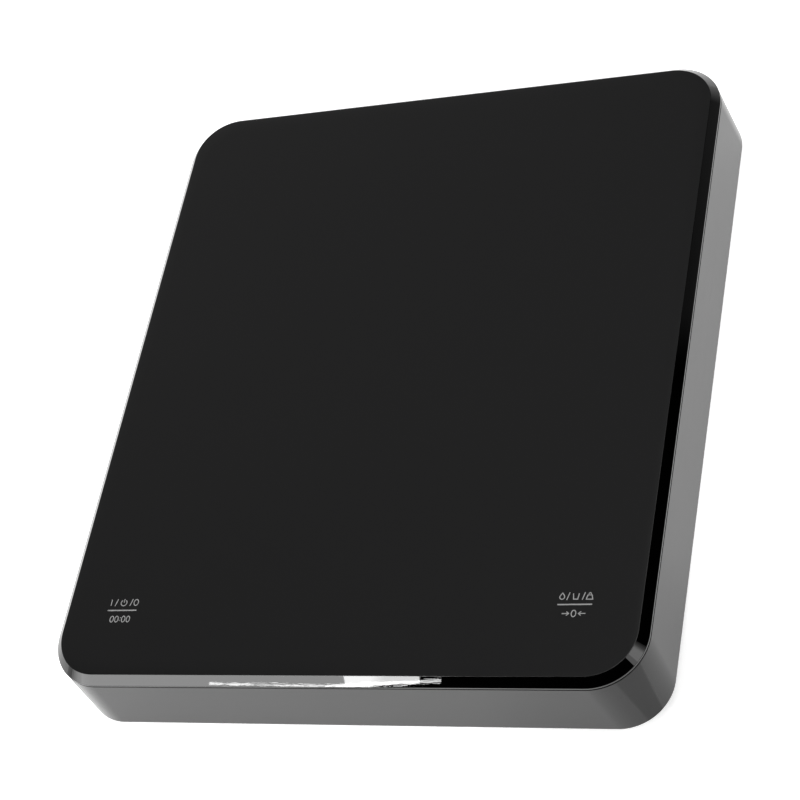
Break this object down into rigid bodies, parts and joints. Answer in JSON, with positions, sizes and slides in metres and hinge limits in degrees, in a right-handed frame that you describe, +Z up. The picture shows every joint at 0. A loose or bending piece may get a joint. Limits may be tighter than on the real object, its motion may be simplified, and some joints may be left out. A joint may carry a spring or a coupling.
{
  "type": "kitchen scale",
  "caption": "Compact kitchen scale: a flat bonded platform with bevelled edges and touch keys floats on a load cell over a recessed base plate with rubber feet.",
  "frame": {"origin": "on the surface the scale stands on, under the middle of its bounding box", "axes": "+Z up out of the weighing platform, -Y towards the user and the touch keys, +X to the user's right"},
  "size_m": [0.132, 0.152, 0.0216],
  "materials": {
    "panel_face": "matte",
    "panel_bevel": "polished",
    "key_print": "matte",
    "housing": "gloss",
    "base_plastic": "satin",
    "foot_rubber": "matte",
    "label": "satin",
    "adhesive": "satin",
    "smoked_film": "gloss",
    "display_body": "satin",
    "circuit_board": "satin",
    "chip": "satin",
    "connector": "satin",
    "lead": "satin",
    "battery_foil": "satin",
    "foam_pad": "matte",
    "spring_steel": "satin",
    "plate_steel": "satin",
    "screw_steel": "satin",
    "cell_aluminium": "satin",
    "gauge_silicone": "matte"
  },
  "bodies": {
    "base": {"base_plate": "base_plastic", "rating_label": "label", "foot_front_left": "foot_rubber", "foot_front_right": "foot_rubber", "foot_rear_right": "foot_rubber", "foot_rear_left": "foot_rubber", "lower_spacer": "plate_steel", "lower_cell_screw_1": "screw_steel", "lower_cell_screw_2": "screw_steel", "load_cell": "cell_aluminium", "gauge_cover_top": "gauge_silicone", "gauge_cover_bottom": "gauge_silicone"},
    "platform": {"top_panel": "panel_face", "panel_adhesive": "adhesive", "display_filter": "smoked_film", "housing": "housing", "led_display": "display_body", "main_board": "circuit_board", "key_spring_left": "spring_steel", "key_spring_right": "spring_steel", "processor_chip": "chip", "converter_chip": "chip", "buzzer": "chip", "cell_connector": "connector", "charge_connector": "connector", "battery_connector": "connector", "board_screw_1": "screw_steel", "board_screw_2": "screw_steel", "board_screw_3": "screw_steel", "board_screw_4": "screw_steel", "battery": "battery_foil", "battery_pad": "foam_pad", "battery_lead": "lead", "charge_board": "circuit_board", "charge_socket": "plate_steel", "charge_plug": "connector", "charger_chip": "chip", "charge_screw_1": "screw_steel", "charge_screw_2": "screw_steel", "charge_lead": "lead", "cell_lead": "lead", "platform_plate": "plate_steel", "plate_screw_1": "screw_steel", "plate_screw_2": "screw_steel", "plate_screw_3": "screw_steel", "plate_screw_4": "screw_steel", "upper_spacer": "plate_steel", "upper_cell_screw_1": "screw_steel", "upper_cell_screw_2": "screw_steel"}
  },
  "joints": [
    {"name": "platform_press", "type": "slide", "parent": "base", "child": "platform", "axis": [0, 0, 1], "range_m": [-0.00025, 0], "stiffness_N_per_m": 117600, "springref_m": 0.00002, "deforming": ["load_cell"]}
  ]
}
